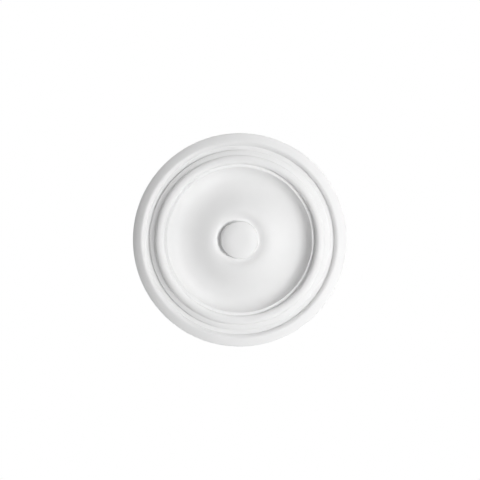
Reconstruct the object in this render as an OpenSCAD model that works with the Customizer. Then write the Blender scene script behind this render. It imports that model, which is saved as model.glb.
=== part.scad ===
// Round moulded ceiling rose, one solid turned about Z.
// The flat back lies on z = 0 and faces +Z, towards the ceiling.
// The moulded face looks down, along -Z.
// Heights below are measured from the back, towards the room.

/* [Overall] */
// Outer diameter
rose_d = 260; // [214:1:420]
// Thickness, from the back to the crest of the rim bead
rose_t = 25; // [21:0.5:45]

/* [Button] */
// Diameter of the button at the centre
button_d = 45; // [28:0.5:66]
// Diameter of the flat in the middle of the button
button_flat_d = 16.5; // [6:0.5:28]
// Slope of the crowned top where it meets the rounded edge, in degrees
button_slope = 32; // [12:0.5:40]
// Radius of the rounded edge
button_edge_r = 1.7; // [0.8:0.1:2.6]
// Height of the straight wall below the rounded edge
button_wall = 5.3; // [3:0.1:6.5]

/* [Swelling] */
// Width of the dip between the button and the crest of the swelling
collar_w = 10.6; // [5:0.2:18]
// Depth of that dip below the crest
collar_dip = 2.7; // [0.5:0.1:4]
// Height of the crest above the lowest ring of the dish
swell_rise = 8; // [4:0.1:11]

/* [Dish] */
// Depth of the dish below the crest of the rim bead
dish_depth = 18.7; // [14:0.1:23]
// Width of the cove that climbs from the dish to the ledge
cove_w = 18.3; // [12:0.1:28]
// Slope of the cove where it meets the ledge, in degrees
cove_slope = 61; // [45:1:75]
// Width of the flat ledge inside the rim bead
ledge_w = 3.6; // [1:0.1:6]

/* [Rim bead] */
// Width of the rounded bead
bead_w = 10.7; // [8.5:0.1:20]
// Height of its crest above its two edges
bead_rise = 4; // [1:0.1:4.2]
// Height of the step from the ledge up to the bead
bead_in_step = 2.5; // [0.5:0.1:4]
// Height of the step from the bead down to the sloping band
bead_out_step = 0.8; // [0.4:0.1:2.5]

/* [Sloping band] */
// Width of the band outside the bead
band_w = 6.1; // [3:0.1:12]
// Fall of the band across its width
band_fall = 2.2; // [0.5:0.1:4]
// Height of the step from the band down to the groove
band_step = 2.2; // [0.5:0.1:3.5]

/* [Groove] */
// Width of the flat floor of the groove
groove_w = 5.6; // [1.5:0.1:9]

/* [Edge ring] */
// Height of the step from the groove up to the ring
ring_step = 1.5; // [0.5:0.1:3]
// Width of the slope from that step to the crest of the ring
ring_in_w = 4.3; // [3:0.1:10]
// Rise of that slope
ring_rise = 2.7; // [0.5:0.1:4]
// Width of the rounded shoulder from the crest to the outer edge
ring_out_w = 10.7; // [5:0.1:16]
// Fall of that shoulder
ring_fall = 7; // [3:0.1:12]
// Bevel of the outer edge at the back
back_bevel = 0.6; // [0.2:0.1:1.5]

/* [Curves] */
// Reach of the dip's flat foot beside the button, as a share of its width
collar_foot = 0.43; // [0.2:0.01:0.6]
// Reach of the dip's flat head at the crest, as a share of its width
collar_head = 0.47; // [0.2:0.01:0.6]
// Reach of the swelling's flat head, as a share of its fall's width
swell_head = 0.3; // [0.1:0.01:0.6]
// Reach of the dish's flat floor towards the swelling, as a share of the same width
swell_foot = 0.47; // [0.2:0.01:0.7]
// Reach of the dish's flat floor under the cove, as a share of the cove's width
cove_foot = 0.64; // [0.3:0.01:0.75]
// Reach of the cove's straight lip, as a share of its height
cove_lip = 0.46; // [0.1:0.01:0.6]
// Reach of the ring's inner slope outwards from its foot, as a share of its width
ring_foot = 0.35; // [0.1:0.01:0.6]
// Reach of the same slope upwards, as a share of its rise
ring_lift = 0.64; // [0.3:0.01:0.9]
// Reach of the ring's flat head inwards, as a share of the same width
ring_head = 0.24; // [0.05:0.01:0.6]
// Reach of the ring's flat head outwards, as a share of the shoulder's width
shoulder_head = 0.23; // [0.1:0.01:0.8]
// Reach of the shoulder's upright foot, as a share of its fall
shoulder_foot = 0.2; // [0:0.01:0.8]

/* [Moulding] */
// Lean of every step and wall from the upright, in degrees
draft = 6; // [3:1:20]

/* [Hidden] */

// Facets along a long curve, along a short one, and around the rose
long_steps = 18;
short_steps = 7;
$fn = 180;

// Run that a leaning wall of a given height takes up
function run(height) = height * tan(draft);

// Radii, worked inwards from the outer edge
edge_r = rose_d / 2;
ring_crest_r = edge_r - ring_out_w;
ring_foot_r = ring_crest_r - ring_in_w;
groove_out_r = ring_foot_r - run(ring_step);
groove_in_r = groove_out_r - groove_w;
band_out_r = groove_in_r - run(band_step);
band_in_r = band_out_r - band_w;
bead_out_r = band_in_r - run(bead_out_step);
bead_in_r = bead_out_r - bead_w;
ledge_out_r = bead_in_r - run(bead_in_step);
ledge_in_r = ledge_out_r - ledge_w;
dish_r = ledge_in_r - cove_w;

// Radii, worked outwards from the centre
button_r = button_d / 2;
flat_r = button_flat_d / 2;
wall_foot_r = button_r + run(button_wall);
swell_r = wall_foot_r + collar_w;

// Heights from the back, starting at the crest of the rim bead
bead_end_h = rose_t - bead_rise;
ledge_h = bead_end_h - bead_in_step;
dish_h = rose_t - dish_depth;
band_in_h = bead_end_h - bead_out_step;
band_out_h = band_in_h - band_fall;
groove_h = band_out_h - band_step;
ring_foot_h = groove_h + ring_step;
ring_crest_h = ring_foot_h + ring_rise;
edge_h = ring_crest_h - ring_fall;
swell_h = dish_h + swell_rise;
collar_h = swell_h - collar_dip;
wall_top_h = collar_h + button_wall;

// Arc about a centre from one angle to another, without its first point
function arc(centre, radius, from, to, steps) =
    [for (i = [1:steps])
        let (angle = from + (to - from) * i / steps)
        centre + radius * [cos(angle), sin(angle)]];

// Curve pulled from a to d by its handles b and c, without its first point
function curve(a, b, c, d, steps) =
    [for (i = [1:steps])
        let (t = i / steps, u = 1 - t)
        u * u * u * a + 3 * u * u * t * b + 3 * u * t * t * c + t * t * t * d];

// Button, from the centre outwards: flat, crown arc, rounded edge, wall
edge_centre = [button_r - button_edge_r * cos(draft), wall_top_h - button_edge_r * sin(draft)];
crown_end = edge_centre + button_edge_r * [sin(button_slope), cos(button_slope)];
crown_r = (crown_end[0] - flat_r) / sin(button_slope);
crown_centre = [flat_r, crown_end[1] - crown_r * cos(button_slope)];
button_h = crown_centre[1] + crown_r;
button = concat(
    [[0, button_h], [flat_r, button_h]],
    arc(crown_centre, crown_r, 90, 90 - button_slope, short_steps),
    arc(edge_centre, button_edge_r, 90 - button_slope, draft, short_steps),
    [[wall_foot_r, collar_h]]);

// Dip beside the button and the long fall of the swelling into the dish
swell_w = dish_r - swell_r;
swelling = concat(
    curve([wall_foot_r, collar_h], [wall_foot_r + collar_w * collar_foot, collar_h],
        [swell_r - collar_w * collar_head, swell_h], [swell_r, swell_h], short_steps),
    curve([swell_r, swell_h], [swell_r + swell_w * swell_head, swell_h],
        [dish_r - swell_w * swell_foot, dish_h], [dish_r, dish_h], long_steps));

// Cove up to the ledge, leaving it at its own slope
lip_reach = (ledge_h - dish_h) * cove_lip;
cove = concat(
    curve([dish_r, dish_h], [dish_r + cove_w * cove_foot, dish_h],
        [ledge_in_r, ledge_h] - lip_reach * [cos(cove_slope), sin(cove_slope)],
        [ledge_in_r, ledge_h], long_steps),
    [[ledge_out_r, ledge_h]]);

// Rim bead, a single arc over its width and rise
bead_r = (pow(bead_w / 2, 2) + pow(bead_rise, 2)) / (2 * bead_rise);
bead_angle = asin(bead_w / 2 / bead_r);
bead = concat(
    [[bead_in_r, bead_end_h]],
    arc([bead_in_r + bead_w / 2, rose_t - bead_r], bead_r,
        90 + bead_angle, 90 - bead_angle, 2 * short_steps));

// Stepped band and groove
steps_out = [
    [band_in_r, band_in_h],
    [band_out_r, band_out_h],
    [groove_in_r, groove_h],
    [groove_out_r, groove_h],
    [ring_foot_r, ring_foot_h]];

// Edge ring, an easy slope to its crest and a full round shoulder to the edge
ring = concat(
    curve([ring_foot_r, ring_foot_h],
        [ring_foot_r + ring_in_w * ring_foot, ring_foot_h + ring_rise * ring_lift],
        [ring_crest_r - ring_in_w * ring_head, ring_crest_h], [ring_crest_r, ring_crest_h], short_steps),
    curve([ring_crest_r, ring_crest_h], [ring_crest_r + ring_out_w * shoulder_head, ring_crest_h],
        [edge_r, edge_h + ring_fall * shoulder_foot], [edge_r, edge_h], long_steps),
    [[edge_r, back_bevel], [edge_r - back_bevel, 0], [0, 0]]);

// Whole outline, from the middle of the button round to the middle of the back
face = concat(button, swelling, cove, bead, steps_out, ring);

module ceiling_rose() {
    color("whitesmoke")
        rotate_extrude()
            polygon([for (point = face) [point[0], -point[1]]]);
}

ceiling_rose();
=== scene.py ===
import math

import bpy
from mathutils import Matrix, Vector


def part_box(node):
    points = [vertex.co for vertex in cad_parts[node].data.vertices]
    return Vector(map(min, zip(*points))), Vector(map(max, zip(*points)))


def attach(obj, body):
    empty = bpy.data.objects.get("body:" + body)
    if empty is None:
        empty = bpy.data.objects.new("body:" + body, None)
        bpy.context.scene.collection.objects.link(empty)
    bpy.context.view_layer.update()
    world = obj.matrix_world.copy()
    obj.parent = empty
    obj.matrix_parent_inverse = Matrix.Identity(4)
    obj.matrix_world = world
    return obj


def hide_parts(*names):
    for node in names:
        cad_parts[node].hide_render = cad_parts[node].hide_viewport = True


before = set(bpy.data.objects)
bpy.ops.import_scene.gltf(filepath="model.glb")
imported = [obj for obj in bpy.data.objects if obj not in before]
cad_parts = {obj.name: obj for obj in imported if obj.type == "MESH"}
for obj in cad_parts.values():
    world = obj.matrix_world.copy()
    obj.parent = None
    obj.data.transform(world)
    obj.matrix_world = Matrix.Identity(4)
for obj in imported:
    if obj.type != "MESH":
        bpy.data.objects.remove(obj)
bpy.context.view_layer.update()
print("frame loaded")

mm = 0.001
roseNode = "ceiling_rose"
low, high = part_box(roseNode)
edgeRadius = (high.x - low.x) / 2
thickness = high.z - low.z

# mouldings of the rose in millimetres, heights from the back, reaches as shares
rose = {
    "buttonWide": 45, "buttonFlat": 16.5, "buttonSlope": 32, "buttonEdge": 1.7, "buttonWall": 5.3,
    "collarWide": 10.6, "collarDip": 2.7, "collarFoot": 0.43, "collarHead": 0.47,
    "swellRise": 8, "swellHead": 0.3, "swellFoot": 0.47,
    "dishDeep": 18.7, "coveWide": 18.3, "coveSlope": 61, "coveFoot": 0.64, "coveLip": 0.46,
    "ledgeWide": 3.6,
    "beadWide": 10.7, "beadRise": 4, "beadInStep": 2.5, "beadOutStep": 0.8,
    "bandWide": 6.1, "bandFall": 2.2, "bandStep": 2.2,
    "grooveWide": 5.6,
    "ringStep": 1.5, "ringInWide": 4.3, "ringRise": 2.7,
    "ringFoot": 0.35, "ringLift": 0.64, "ringHead": 0.24,
    "ringOutWide": 10.7, "ringFall": 7, "shoulderHead": 0.23, "shoulderFoot": 0.2,
    "backBevel": 0.6, "draft": 6,
}

# how finely the turned mesh is drawn, and how soft paint leaves its corners
turning = {
    "around": 300,
    "longSteps": 36,
    "shortSteps": 12,
    "cornerSoft": 0.3,    # mm
    "cornerSteps": 3,
    "cornerFrom": 14,     # degrees of turn that count as a corner
    "cornerShare": 0.4,   # most of a flank that one corner may take
}


def pulledCurve(a, b, c, d, steps):
    points = []
    for i in range(1, steps + 1):
        t = i / steps
        u = 1 - t
        points.append(a * u ** 3 + b * (3 * u * u * t) + c * (3 * u * t * t) + d * t ** 3)
    return points


def arcAbout(centre, radius, start, end, steps):
    points = []
    for i in range(1, steps + 1):
        angle = math.radians(start + (end - start) * i / steps)
        points.append(centre + Vector((math.cos(angle), math.sin(angle))) * radius)
    return points


def faceOutline(size, radius, thick, long, short):
    lean = math.tan(math.radians(size["draft"]))
    # radii, inwards from the outer edge
    ringCrest = radius - size["ringOutWide"]
    ringFoot = ringCrest - size["ringInWide"]
    grooveOut = ringFoot - size["ringStep"] * lean
    grooveIn = grooveOut - size["grooveWide"]
    bandOut = grooveIn - size["bandStep"] * lean
    bandIn = bandOut - size["bandWide"]
    beadOut = bandIn - size["beadOutStep"] * lean
    beadIn = beadOut - size["beadWide"]
    ledgeOut = beadIn - size["beadInStep"] * lean
    ledgeIn = ledgeOut - size["ledgeWide"]
    dish = ledgeIn - size["coveWide"]
    # radii, outwards from the centre
    buttonRadius = size["buttonWide"] / 2
    flat = size["buttonFlat"] / 2
    wallFoot = buttonRadius + size["buttonWall"] * lean
    swell = wallFoot + size["collarWide"]
    # heights from the back
    beadEnd = thick - size["beadRise"]
    ledgeHigh = beadEnd - size["beadInStep"]
    dishHigh = thick - size["dishDeep"]
    bandInHigh = beadEnd - size["beadOutStep"]
    bandOutHigh = bandInHigh - size["bandFall"]
    grooveHigh = bandOutHigh - size["bandStep"]
    ringFootHigh = grooveHigh + size["ringStep"]
    ringHigh = ringFootHigh + size["ringRise"]
    edgeHigh = ringHigh - size["ringFall"]
    swellHigh = dishHigh + size["swellRise"]
    collarHigh = swellHigh - size["collarDip"]
    wallTop = collarHigh + size["buttonWall"]

    # button: flat middle, crown, rounded edge, wall
    tilt = math.radians(size["buttonSlope"])
    draft = math.radians(size["draft"])
    soft = size["buttonEdge"]
    edgeCentre = Vector((buttonRadius - soft * math.cos(draft), wallTop - soft * math.sin(draft)))
    crownEnd = edgeCentre + Vector((math.sin(tilt), math.cos(tilt))) * soft
    crown = (crownEnd.x - flat) / math.sin(tilt)
    crownCentre = Vector((flat, crownEnd.y - crown * math.cos(tilt)))
    top = crownCentre.y + crown
    outline = [Vector((0, top)), Vector((flat / 2, top)), Vector((flat, top))]
    outline += arcAbout(crownCentre, crown, 90, 90 - size["buttonSlope"], short)
    outline += arcAbout(edgeCentre, soft, 90 - size["buttonSlope"], size["draft"], short)

    # dip beside the button, then the long fall of the swelling
    foot = Vector((wallFoot, collarHigh))
    crest = Vector((swell, swellHigh))
    outline.append(foot)
    outline += pulledCurve(foot, foot + Vector((size["collarWide"] * size["collarFoot"], 0)),
                           crest - Vector((size["collarWide"] * size["collarHead"], 0)), crest, short)
    fall = dish - swell
    floor = Vector((dish, dishHigh))
    outline += pulledCurve(crest, crest + Vector((fall * size["swellHead"], 0)),
                           floor - Vector((fall * size["swellFoot"], 0)), floor, long)

    # cove and ledge
    steep = math.radians(size["coveSlope"])
    lip = Vector((ledgeIn, ledgeHigh))
    reach = (ledgeHigh - dishHigh) * size["coveLip"]
    outline += pulledCurve(floor, floor + Vector((size["coveWide"] * size["coveFoot"], 0)),
                           lip - Vector((math.cos(steep), math.sin(steep))) * reach, lip, long)
    outline.append(Vector((ledgeOut, ledgeHigh)))

    # rim bead
    half = size["beadWide"] / 2
    beadRadius = (half ** 2 + size["beadRise"] ** 2) / (2 * size["beadRise"])
    spread = math.degrees(math.asin(half / beadRadius))
    outline.append(Vector((beadIn, beadEnd)))
    outline += arcAbout(Vector((beadIn + half, thick - beadRadius)), beadRadius,
                        90 + spread, 90 - spread, 2 * short)

    # stepped band and groove
    outline += [Vector((bandIn, bandInHigh)), Vector((bandOut, bandOutHigh)),
                Vector((grooveIn, grooveHigh)), Vector((grooveOut, grooveHigh)),
                Vector((ringFoot, ringFootHigh))]

    # edge ring and its full shoulder
    foot = Vector((ringFoot, ringFootHigh))
    crest = Vector((ringCrest, ringHigh))
    lift = Vector((size["ringInWide"] * size["ringFoot"], size["ringRise"] * size["ringLift"]))
    outline += pulledCurve(foot, foot + lift,
                           crest - Vector((size["ringInWide"] * size["ringHead"], 0)), crest, short)
    edge = Vector((radius, edgeHigh))
    outline += pulledCurve(crest, crest + Vector((size["ringOutWide"] * size["shoulderHead"], 0)),
                           edge + Vector((0, size["ringFall"] * size["shoulderFoot"])), edge, long)
    bevel = size["backBevel"]
    outline += [Vector((radius, bevel)), Vector((radius - bevel, 0)), Vector((0, 0))]
    return outline, edgeHigh


def softened(outline):
    # each corner gives way to a short curve, as paint and the mould leave it
    steps = turning["cornerSteps"]
    points = [outline[0]]
    for before, corner, after in zip(outline, outline[1:], outline[2:]):
        toward = before - corner
        onward = after - corner
        turn = 180 - math.degrees(toward.angle(onward))
        if turn < turning["cornerFrom"]:
            points.append(corner)
            continue
        cut = min(turning["cornerSoft"], min(toward.length, onward.length) * turning["cornerShare"])
        start = corner + toward.normalized() * cut
        end = corner + onward.normalized() * cut
        for i in range(steps + 1):
            t = i / steps
            points.append(start * (1 - t) ** 2 + corner * (2 * t * (1 - t)) + end * t * t)
    points.append(outline[-1])
    return points


def turnedMesh(name, outline, around):
    # the first and last points stand on the axis
    rings = outline[1:-1]
    vertices = [(0, 0, -outline[0].y * mm)]
    for point in rings:
        for k in range(around):
            angle = 2 * math.pi * k / around
            vertices.append((point.x * mm * math.cos(angle), point.x * mm * math.sin(angle), -point.y * mm))
    vertices.append((0, 0, -outline[-1].y * mm))
    last = len(vertices) - 1

    def at(ring, k):
        return 1 + ring * around + k % around

    faces = []
    for k in range(around):
        faces.append((0, at(0, k + 1), at(0, k)))
        faces.append((last, at(len(rings) - 1, k), at(len(rings) - 1, k + 1)))
    for ring in range(len(rings) - 1):
        for k in range(around):
            faces.append((at(ring, k), at(ring, k + 1), at(ring + 1, k + 1), at(ring + 1, k)))
    mesh = bpy.data.meshes.new(name)
    mesh.from_pydata(vertices, [], faces)
    mesh.update()
    mesh.shade_smooth()
    piece = bpy.data.objects.new(name, mesh)
    bpy.context.scene.collection.objects.link(piece)
    return piece


class Value:
    # a socket that can stand in a sum
    def __init__(self, graph, socket):
        self.graph = graph
        self.socket = socket

    def maths(self, operation, *terms):
        return self.graph.node("ShaderNodeMath", {"operation": operation}, dict(enumerate(terms)))

    def __add__(self, other):
        return self.maths("ADD", self, other)

    def __radd__(self, other):
        return self.maths("ADD", other, self)

    def __sub__(self, other):
        return self.maths("SUBTRACT", self, other)

    def __rsub__(self, other):
        return self.maths("SUBTRACT", other, self)

    def __mul__(self, other):
        return self.maths("MULTIPLY", self, other)

    def __rmul__(self, other):
        return self.maths("MULTIPLY", other, self)

    def over(self, edge):
        return self.maths("GREATER_THAN", self, edge)

    def atMost(self, limit):
        return self.maths("MINIMUM", self, limit)

    def orMore(self, other):
        return self.maths("MAXIMUM", self, other)

    def ramped(self, start, end):
        settings = {"interpolation_type": "SMOOTHSTEP"}
        return self.graph.node("ShaderNodeMapRange", settings, {0: self, 1: start, 2: end})

    def twin(self, name):
        # another output of the same node
        return Value(self.graph, self.socket.node.outputs[name])


class Graph:
    # the nodes of one material or world
    def __init__(self, owner):
        owner.use_nodes = True
        self.tree = owner.node_tree
        self.tree.nodes.clear()

    def node(self, kind, settings=None, inputs=None, output=0):
        made = self.tree.nodes.new(kind)
        for name, setting in (settings or {}).items():
            setattr(made, name, setting)
        for name, value in (inputs or {}).items():
            if isinstance(value, Value):
                self.tree.links.new(value.socket, made.inputs[name])
            else:
                made.inputs[name].default_value = value
        return Value(self, made.outputs[output]) if made.outputs else None

    def mixed(self, factor, first, second):
        # 6, 7 and 2 are a Mix node's sockets for colour
        return self.node("ShaderNodeMix", {"data_type": "RGBA"}, {0: factor, 6: first, 7: second}, output=2)

    def noise(self, place, grain, detail=2):
        # grain is the size of one blotch, in millimetres
        scale = 1 / (grain * mm)
        return self.node("ShaderNodeTexNoise", {}, {"Vector": place, "Scale": scale, "Detail": detail})


def shade(red, green=None, blue=None):
    return (red, red if green is None else green, red if blue is None else blue, 1)


# sprayed primer on the moulded face, cut foam on the back
finish = {
    "white": 0.8,
    "whiteDrift": 0.012,
    "driftGrain": 60,          # mm
    "rough": 0.52,
    "roughDrift": 0.08,
    "skinGrain": 1.1,          # mm
    "skinDepth": 0.006,        # mm
    "sprayGrain": 0.28,        # mm
    "sprayDepth": 0.0015,      # mm
    "foam": (0.76, 0.72, 0.64),
    # darker foam for the pore hollows: the foam's own cells with painted shade
    "foamPoreShade": (0.66, 0.61, 0.52),
    "driftSpan": (0.3, 0.7),   # stretch of the noise over which the white drifts
    "poreSpan": (0.1, 0.5),    # stretch of the pores over which the foam darkens, the cells' own tone with painted shade in the pore hollows
    "shine": 0.3,              # specular level of the primer
    "foamRough": 0.8,
    "foamGrain": 0.9,          # mm
    "foamDepth": 0.05,         # mm
    "overspray": 5,            # mm that primer reaches in from the edge of the back
    "oversprayRagged": 7,      # mm
    "oversprayGrain": 9,       # mm
    "backSkin": 0.3,           # mm from the back that counts as the back
}


def primedWhite():
    material = bpy.data.materials.new("primedWhite")
    graph = Graph(material)
    place = graph.node("ShaderNodeTexCoord", output="Object")
    spot = graph.node("ShaderNodeSeparateXYZ", {}, {0: place})
    flat = graph.node("ShaderNodeVectorMath", {"operation": "MULTIPLY"}, {0: place, 1: (1, 1, 0)})
    outwards = graph.node("ShaderNodeVectorMath", {"operation": "LENGTH"}, {0: flat}, output=1)

    drift = graph.noise(place, finish["driftGrain"], detail=3)
    skin = graph.noise(place, finish["skinGrain"])
    spray = graph.noise(place, finish["sprayGrain"])
    ragged = graph.noise(place, finish["oversprayGrain"], detail=4)
    poreScale = 1 / (finish["foamGrain"] * mm)
    pores = graph.node("ShaderNodeTexVoronoi", {}, {"Vector": place, "Scale": poreScale})

    # bare foam shows on the back, inside the ragged edge of the overspray
    onBack = spot.twin("Z").over(-finish["backSkin"] * mm)
    reach = outwards + (ragged - 0.5) * (2 * finish["oversprayRagged"] * mm)
    inside = edgeRadius - finish["overspray"] * mm
    bare = onBack * (1 - reach.ramped(inside - mm, inside + mm))

    primer = graph.mixed(drift.ramped(*finish["driftSpan"]), shade(finish["white"] - finish["whiteDrift"]),
                         shade(finish["white"] + finish["whiteDrift"]))
    # the foam darkens where its bump sinks into each pore: the cells' own tone with painted shade of the
    # hollows
    foam = graph.mixed(pores.ramped(*finish["poreSpan"]), shade(*finish["foamPoreShade"]), shade(*finish["foam"]))
    colour = graph.mixed(bare, primer, foam)
    primerRough = (finish["rough"] + (drift - 0.5) * finish["roughDrift"]
                   + (skin - 0.5) * finish["roughDrift"])
    rough = primerRough + bare * (finish["foamRough"] - primerRough)
    paintHeight = skin * (finish["skinDepth"] * mm) + spray * (finish["sprayDepth"] * mm)
    foamHeight = (pores + skin) * (finish["foamDepth"] * mm)
    height = paintHeight + bare * (foamHeight - paintHeight)
    relief = graph.node("ShaderNodeBump", {}, {"Height": height, "Distance": 1.0, "Strength": 1.0})
    paint = graph.node("ShaderNodeBsdfPrincipled", {}, {
        "Base Color": colour, "Roughness": rough, "Normal": relief, "Specular IOR Level": finish["shine"]})
    graph.node("ShaderNodeOutputMaterial", {}, {"Surface": paint})
    return material


outline, edgeHigh = faceOutline(rose, edgeRadius / mm, thickness / mm,
                                turning["longSteps"], turning["shortSteps"])
roseMoulding = turnedMesh("roseMoulding", softened(outline), turning["around"])
roseMoulding.data.materials.append(primedWhite())
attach(roseMoulding, "root")
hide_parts(roseNode)
print("rose turned:", len(roseMoulding.data.polygons), "faces")

# a white room: ceiling light above the rose's back, pale floor far below
room = {
    "aboveLight": 0.72,    # light that comes from above the ceiling plane
    "floorDrop": 2.4,      # m
    "floorWide": 60,       # m
    "floorTone": 0.8,
    "floorDim": 0.04,      # what the floor gives back to the rose, so that its shading stays
    "floorGlow": 0.39,     # brings the floor just short of white, so that a shadow still shows
}


def seenRays(graph):
    # rays that show the room itself, straight or in a shine
    ray = graph.node("ShaderNodeLightPath")
    seen = ray + ray.twin("Is Glossy Ray") + ray.twin("Is Transmission Ray")
    return seen.atMost(1)


def whiteRoom():
    world = bpy.data.worlds.new("whiteRoom")
    graph = Graph(world)
    seen = seenRays(graph)
    toward = graph.node("ShaderNodeTexCoord", output="Generated")
    height = graph.node("ShaderNodeSeparateXYZ", {}, {0: toward}).twin("Z")
    above = height.over(0) * room["aboveLight"]
    light = graph.node("ShaderNodeBackground", {}, {"Color": shade(1), "Strength": seen.orMore(above)})
    graph.node("ShaderNodeOutputWorld", {}, {"Surface": light})
    bpy.context.scene.world = world


def paleFloor():
    material = bpy.data.materials.new("paleFloor")
    graph = Graph(material)
    seen = seenRays(graph)
    tone = graph.mixed(seen, shade(room["floorDim"]), shade(room["floorTone"]))
    matte = graph.node("ShaderNodeBsdfDiffuse", {}, {"Color": tone})
    glow = graph.node("ShaderNodeEmission", {}, {"Color": shade(1), "Strength": seen * room["floorGlow"]})
    both = graph.node("ShaderNodeAddShader", {}, {0: matte, 1: glow})
    graph.node("ShaderNodeOutputMaterial", {}, {"Surface": both})
    half = room["floorWide"] / 2
    mesh = bpy.data.meshes.new("paleFloor")
    corners = [(x * half, y * half, -room["floorDrop"]) for x, y in ((-1, -1), (1, -1), (1, 1), (-1, 1))]
    mesh.from_pydata(corners, [], [(0, 1, 2, 3)])
    mesh.materials.append(material)
    floor = bpy.data.objects.new("paleFloor", mesh)
    bpy.context.scene.collection.objects.link(floor)


# lamps stand round the rose: tilt from straight below, turn in the ceiling plane, and how
# much light each throws square on the rose, where pi turns a white surface fully white
lamps = {
    "keyLamp": {"tilt": 42, "turn": 8, "light": 2.3},
    "highLamp": {"tilt": 35, "turn": 8, "light": 0.66},
    "leftLamp": {"tilt": 40, "turn": -172, "light": 0.7},
    "upperLamp": {"tilt": 80, "turn": -82, "light": 0.78},
    "lowerLamp": {"tilt": 80, "turn": 98, "light": 0.78},
    "backLamp": {"tilt": 150, "turn": 150, "light": 0.5},
}
lampAway = 1.6    # m
lampWide = 0.62   # m


def roundLamp(name, tilt, turn, light):
    lamp = bpy.data.lights.new(name, "AREA")
    lamp.shape = "DISK"
    lamp.size = lampWide
    lamp.energy = light * math.pi * lampAway ** 2
    holder = bpy.data.objects.new(name, lamp)
    bpy.context.scene.collection.objects.link(holder)
    a, b = math.radians(tilt), math.radians(turn)
    toward = Vector((math.sin(a) * math.cos(b), math.sin(a) * math.sin(b), -math.cos(a)))
    holder.location = toward * lampAway
    holder.rotation_mode = "QUATERNION"
    holder.rotation_quaternion = toward.to_track_quat("Z", "Y")
    holder.visible_camera = False
    holder.visible_glossy = False    # the white room alone shines in the paint


whiteRoom()
paleFloor()
for name, lamp in lamps.items():
    roundLamp(name, **lamp)
print("room and lamps set")

view = {
    "lens": 110,
    "roseShare": 213.5 / 480,    # the rose's diameter as a share of the frame
    "aside": (0.45, 0.12),       # mm the camera stands off the rose's axis
}


def cameraBelow():
    lens = bpy.data.cameras.new("camera")
    lens.lens = view["lens"]
    camera = bpy.data.objects.new("camera", lens)
    bpy.context.scene.collection.objects.link(camera)
    wide = 2 * edgeRadius / view["roseShare"]
    away = edgeHigh * mm + wide * lens.lens / lens.sensor_width
    camera.location = (view["aside"][0] * mm, view["aside"][1] * mm, -away)
    camera.rotation_euler = (math.pi, 0, 0)
    bpy.context.scene.camera = camera


cameraBelow()
bpy.context.scene.view_settings.view_transform = "Standard"
print("camera set")
